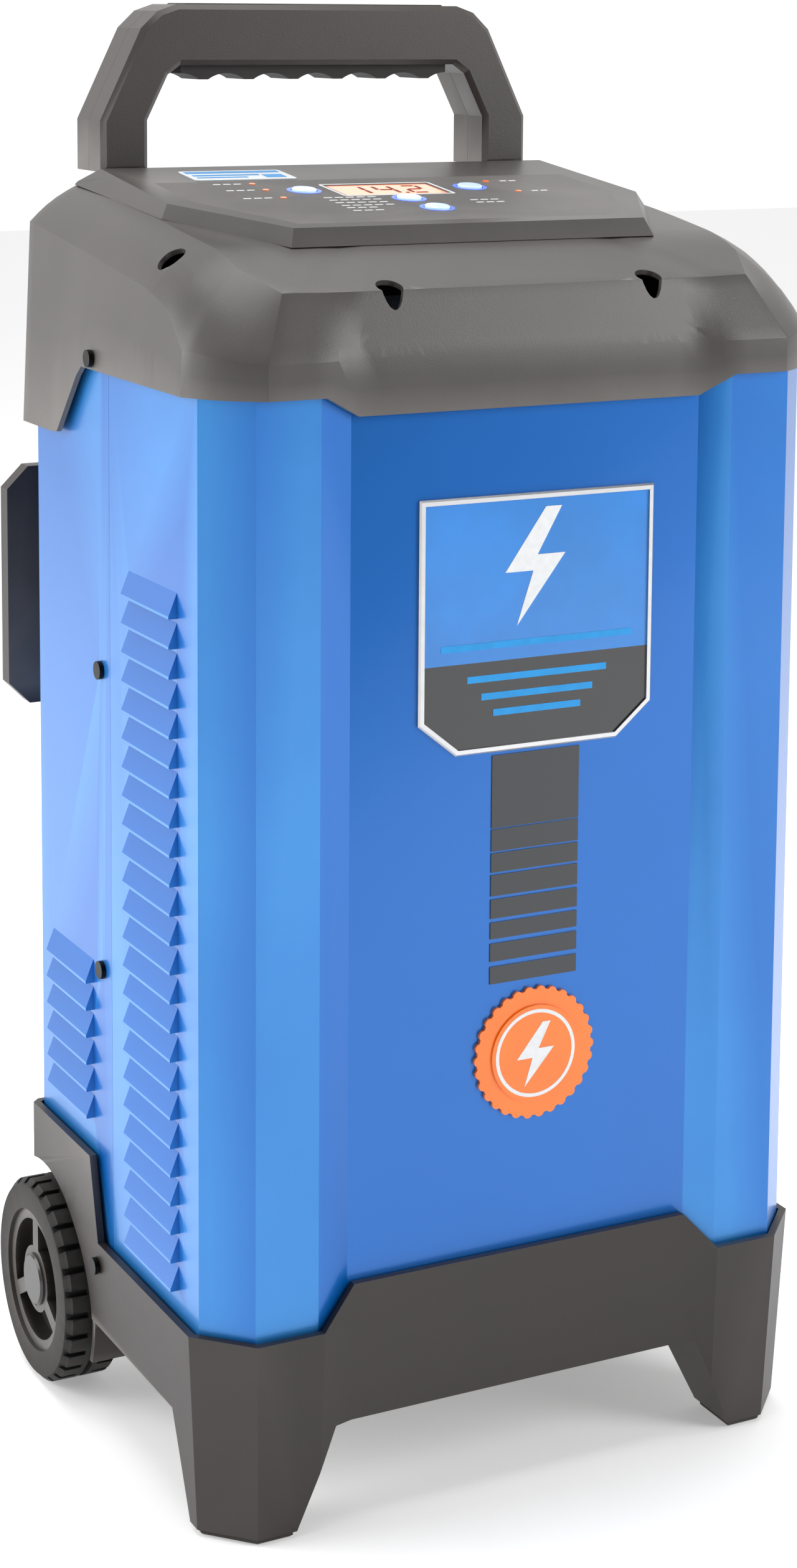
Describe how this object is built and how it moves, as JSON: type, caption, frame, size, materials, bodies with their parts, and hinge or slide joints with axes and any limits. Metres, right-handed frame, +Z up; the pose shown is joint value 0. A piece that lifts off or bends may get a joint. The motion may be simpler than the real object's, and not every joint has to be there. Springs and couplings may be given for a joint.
{
  "type": "trolley battery charger",
  "caption": "Upright trolley battery charger: louvred steel body, moulded hood with tilted control panel, carry handle, cable holder and two rear wheels.",
  "frame": {"origin": "centre of the footprint on the floor", "axes": "+Z up, front panel faces -Y, +X to the viewer's right when facing the front"},
  "size_m": [0.324, 0.2866, 0.6646],
  "materials": {
    "axle": "zinc plated",
    "axle_fittings": "zinc plated",
    "badge": "printed film",
    "base": "fine texture",
    "bobbin": "plain",
    "button": "translucent",
    "case_screws": "zinc plated",
    "component_plate": "galvanised",
    "console": "satin",
    "console_screws": "zinc plated",
    "control_board": "solder mask",
    "control_overlay": "fine texture",
    "core_bolts": "zinc plated",
    "display_module": "lit",
    "display_window": "tinted",
    "fan_frame": "plain",
    "fan_guard": "plated wire",
    "fan_rotor": "plain",
    "finger_grip": "soft touch",
    "floor_plate": "galvanised",
    "foot_pads": "matte",
    "front_shell": "semi-gloss powder coat",
    "fuse_block": "plain",
    "grip_inlay": "soft touch",
    "handle_bolts": "zinc plated",
    "handle_bracket": "galvanised",
    "handle_front": "fine texture",
    "handle_rear": "fine texture",
    "heat_sink": "extruded",
    "holder_core": "fine texture",
    "holder_plate": "fine texture",
    "hood": "satin",
    "hub_cap": "smooth",
    "indicator_leds": "translucent",
    "label_frame": "satin",
    "label_lower": "printed film",
    "label_panel": "printed film",
    "lead_glands": "plain",
    "mains_gland": "plain",
    "name_label": "printed film",
    "power_board": "solder mask",
    "primary_winding": "tape wrapped",
    "rear_shell": "semi-gloss powder coat",
    "rectifier_diodes": "plated",
    "relay": "smooth",
    "secondary_winding": "tape wrapped",
    "side_screws": "black oxide",
    "strip_fuse": "plain",
    "stripe_band": "printed film",
    "transformer_brackets": "galvanised",
    "transformer_core": "laminated, varnished",
    "trim_screws": "zinc plated",
    "tyre": "matte",
    "wheel_hub": "fine texture"
  },
  "bodies": {
    "charger": {"axle": "axle", "axle_fittings": "axle_fittings", "badge": "badge", "base": "base", "bobbin": "bobbin", "case_screws": "case_screws", "component_plate": "component_plate", "console": "console", "console_screws": "console_screws", "control_board": "control_board", "control_overlay": "control_overlay", "core_bolts": "core_bolts", "display_module": "display_module", "display_window": "display_window", "fan_frame": "fan_frame", "fan_guard": "fan_guard", "finger_grip": "finger_grip", "floor_plate": "floor_plate", "foot_pads": "foot_pads", "front_shell": "front_shell", "fuse_block": "fuse_block", "grip_inlay": "grip_inlay", "handle_bolts": "handle_bolts", "handle_bracket": "handle_bracket", "handle_front": "handle_front", "handle_rear": "handle_rear", "heat_sink": "heat_sink", "holder_core": "holder_core", "holder_plate": "holder_plate", "hood": "hood", "indicator_leds": "indicator_leds", "label_frame": "label_frame", "label_lower": "label_lower", "label_panel": "label_panel", "lead_glands": "lead_glands", "mains_gland": "mains_gland", "name_label": "name_label", "power_board": "power_board", "primary_winding": "primary_winding", "rear_shell": "rear_shell", "rectifier_diodes": "rectifier_diodes", "relay": "relay", "secondary_winding": "secondary_winding", "side_screws": "side_screws", "strip_fuse": "strip_fuse", "stripe_band": "stripe_band", "transformer_brackets": "transformer_brackets", "transformer_core": "transformer_core", "trim_screws": "trim_screws"},
    "wheel_left": {"tyre_left": "tyre", "wheel_hub_left": "wheel_hub", "hub_cap_left": "hub_cap"},
    "wheel_right": {"tyre_right": "tyre", "wheel_hub_right": "wheel_hub", "hub_cap_right": "hub_cap"},
    "fan": {"fan_rotor": "fan_rotor"},
    "button_1_cap": {"button_1": "button"},
    "button_2_cap": {"button_2": "button"},
    "button_3_cap": {"button_3": "button"},
    "button_4_cap": {"button_4": "button"}
  },
  "joints": [
    {"name": "wheel_left_spin", "type": "hinge", "parent": "charger", "child": "wheel_left", "pos_m": [-0.147, 0.0589, 0.0485], "axis": [1, 0, 0], "continuous": true},
    {"name": "wheel_right_spin", "type": "hinge", "parent": "charger", "child": "wheel_right", "pos_m": [0.147, 0.0589, 0.0485], "axis": [1, 0, 0], "continuous": true},
    {"name": "fan_spin", "type": "hinge", "parent": "charger", "child": "fan", "pos_m": [0, 0.058, 0.25], "axis": [0, 1, 0], "continuous": true},
    {"name": "button_1_press", "type": "slide", "parent": "charger", "child": "button_1_cap", "axis": [0, 0.1217, -0.9926], "range_m": [0, 0.0008], "stiffness_N_per_m": 400, "springref_m": -0.0008},
    {"name": "button_2_press", "type": "slide", "parent": "charger", "child": "button_2_cap", "axis": [0, 0.1217, -0.9926], "range_m": [0, 0.0008], "stiffness_N_per_m": 400, "springref_m": -0.0008},
    {"name": "button_3_press", "type": "slide", "parent": "charger", "child": "button_3_cap", "axis": [0, 0.1217, -0.9926], "range_m": [0, 0.0008], "stiffness_N_per_m": 400, "springref_m": -0.0008},
    {"name": "button_4_press", "type": "slide", "parent": "charger", "child": "button_4_cap", "axis": [0, 0.1217, -0.9926], "range_m": [0, 0.0008], "stiffness_N_per_m": 400, "springref_m": -0.0008}
  ]
}
